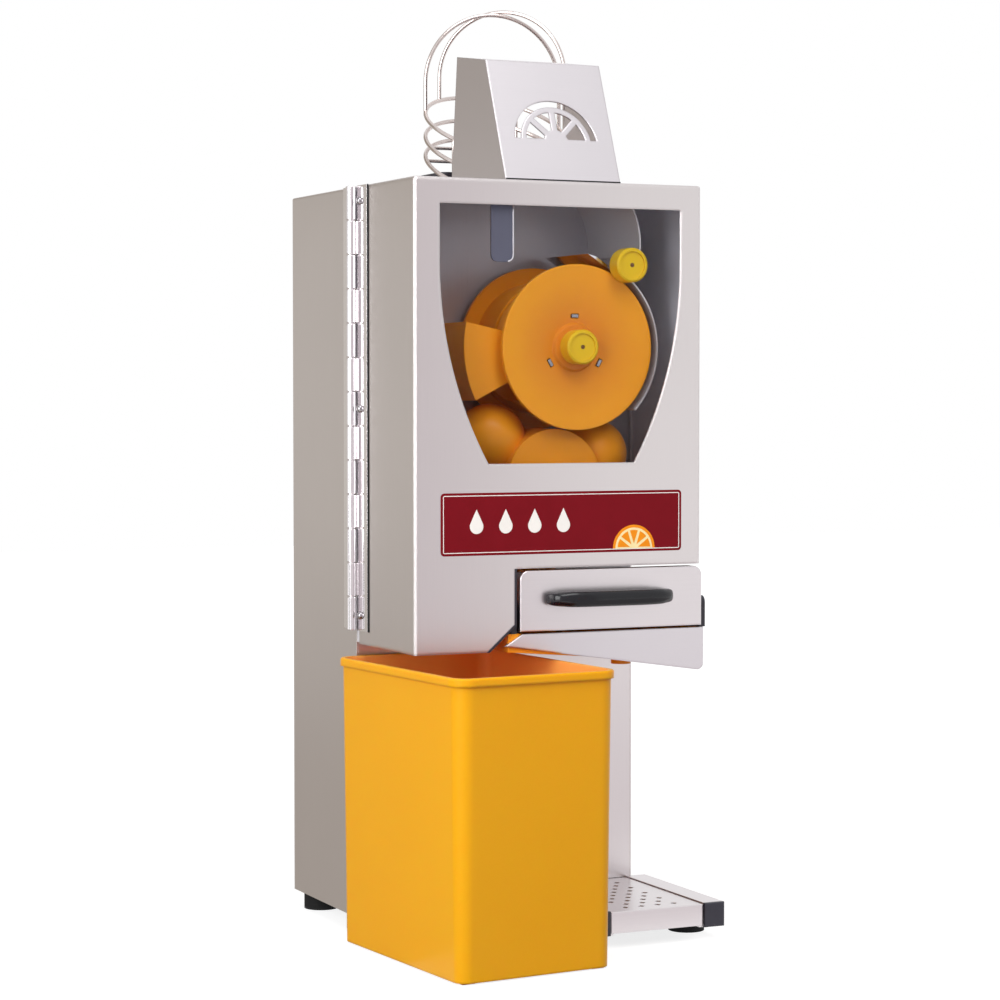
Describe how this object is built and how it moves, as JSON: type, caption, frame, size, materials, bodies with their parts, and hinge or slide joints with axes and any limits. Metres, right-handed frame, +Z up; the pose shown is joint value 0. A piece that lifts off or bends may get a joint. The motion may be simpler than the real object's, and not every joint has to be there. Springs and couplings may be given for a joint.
{
  "type": "automatic orange juicer",
  "caption": "Countertop automatic orange juicer: steel cabinet, hinged cover with window, geared squeezing drums, wire fruit feeder, filter drawer, juice spout, drip tray and peel bin.",
  "frame": {"origin": "On the counter, under the middle of the whole machine's bounding box.", "axes": "+X to the right and +Y away from the user who stands in front, +Z up; lengths at real size."},
  "size_m": [0.3274, 0.4028, 0.8503],
  "materials": {
    "brushed_steel": "satin sheet",
    "inner_steel": "dull sheet",
    "amber_plastic": "glossy amber",
    "yellow_plastic": "glossy yellow",
    "black_plastic": "matt black",
    "gloss_black": "glossy black",
    "green_plastic": "glossy green",
    "rubber": "matt black",
    "bronze": "turned",
    "cast_metal": "cast",
    "motor_paint": "dark grey paint",
    "chrome_wire": "polished",
    "clear_pane": "clear sheet",
    "gear_plastic": "natural"
  },
  "bodies": {
    "cabinet": {"cabinet_shell": "brushed_steel", "back_panel": "brushed_steel", "base_plate": "inner_steel", "bulkhead": "brushed_steel", "left_base_tube": "brushed_steel", "right_base_tube": "brushed_steel", "left_tube_cap": "black_plastic", "right_tube_cap": "black_plastic", "cabinet_feet": "rubber", "tube_feet": "rubber", "cabinet_hinge_leaf": "brushed_steel", "hinge_pin": "brushed_steel", "bearing_plate": "inner_steel", "plate_spacers": "inner_steel", "cup_front_bush": "bronze", "cup_rear_bush": "bronze", "ball_front_bush": "bronze", "ball_rear_bush": "bronze", "gearbox": "cast_metal", "drive_motor": "motor_paint", "fruit_band": "brushed_steel", "guide_stud": "brushed_steel", "knife": "brushed_steel", "peel_ejector": "amber_plastic", "juice_tank": "amber_plastic", "tank_front": "brushed_steel", "juice_spout": "amber_plastic", "left_drawer_rail": "black_plastic", "right_drawer_rail": "black_plastic", "wire_feeder": "chrome_wire", "feeder_base": "black_plastic", "switch_bezel": "black_plastic", "power_inlet": "black_plastic", "cover_sensor": "black_plastic", "control_box": "black_plastic"},
    "front_cover": {"cover_shell": "brushed_steel", "window_pane": "clear_pane", "cover_hinge_leaf": "brushed_steel", "feed_hood": "brushed_steel", "gate_plate": "brushed_steel", "cover_magnet": "black_plastic"},
    "cup_unit": {"cup_drum": "amber_plastic", "front_dish": "amber_plastic", "cup_shaft": "brushed_steel", "cup_gear": "gear_plastic"},
    "dish_knob": {"dish_knob": "yellow_plastic"},
    "ball_unit": {"ball_drum": "amber_plastic", "ball_shaft": "brushed_steel", "ball_gear": "gear_plastic", "ball_nut": "brushed_steel"},
    "drive_pinion": {"drive_pinion": "inner_steel"},
    "filter_drawer": {"drawer_front": "brushed_steel", "drawer_tray": "brushed_steel", "drawer_handle": "gloss_black"},
    "filter_sheet": {"filter_sheet": "brushed_steel"},
    "drip_pan": {"drip_pan": "brushed_steel"},
    "drip_grid": {"drip_grid": "brushed_steel"},
    "waste_bin": {"waste_bin": "yellow_plastic"},
    "guide_knob": {"guide_knob": "yellow_plastic"},
    "switch_rocker": {"switch_rocker": "green_plastic"}
  },
  "joints": [
    {"name": "cover_hinge", "type": "hinge", "parent": "cabinet", "child": "front_cover", "pos_m": [-0.14277, 0.03741, 0.4785], "axis": [0, 0, -1], "range_deg": [0, 110]},
    {"name": "cup_spin", "type": "hinge", "parent": "cabinet", "child": "cup_unit", "pos_m": [0.03323, 0.03741, 0.5336], "axis": [0, 1, 0], "continuous": true},
    {"name": "ball_spin", "type": "hinge", "parent": "cabinet", "child": "ball_unit", "pos_m": [0.01715, 0.03741, 0.41468], "axis": [0, 1, 0], "continuous": true},
    {"name": "pinion_spin", "type": "hinge", "parent": "cabinet", "child": "drive_pinion", "pos_m": [0.00313, 0.05441, 0.61629], "axis": [0, 1, 0], "continuous": true},
    {"name": "dish_knob_turn", "type": "hinge", "parent": "cup_unit", "child": "dish_knob", "pos_m": [0.03323, -0.07059, 0.5336], "axis": [0, -1, 0], "range_deg": [0, 90]},
    {"name": "guide_knob_turn", "type": "hinge", "parent": "cabinet", "child": "guide_knob", "pos_m": [0.07973, -0.07459, 0.607], "axis": [0, -1, 0], "range_deg": [0, 90]},
    {"name": "drawer_slide", "type": "slide", "parent": "cabinet", "child": "filter_drawer", "axis": [0, -1, 0], "range_m": [0, 0.11]},
    {"name": "filter_lift", "type": "slide", "parent": "filter_drawer", "child": "filter_sheet", "axis": [0, 0, 1], "range_m": [0, 0.03]},
    {"name": "pan_slide", "type": "slide", "parent": "cabinet", "child": "drip_pan", "axis": [0, -1, 0], "range_m": [0, 0.14]},
    {"name": "grid_lift", "type": "slide", "parent": "drip_pan", "child": "drip_grid", "axis": [0, 0, 1], "range_m": [0, 0.06]},
    {"name": "bin_slide", "type": "slide", "parent": "cabinet", "child": "waste_bin", "axis": [0, -1, 0], "range_m": [0, 0.25]},
    {"name": "switch_rock", "type": "hinge", "parent": "cabinet", "child": "switch_rocker", "pos_m": [0.14323, 0.13741, 0.52], "axis": [0, -1, 0], "range_deg": [0, 16]}
  ],
  "couplings": [
    {"joint": "ball_spin", "follows": "cup_spin", "ratio": -1},
    {"joint": "pinion_spin", "follows": "cup_spin", "ratio": -2.1429}
  ]
}
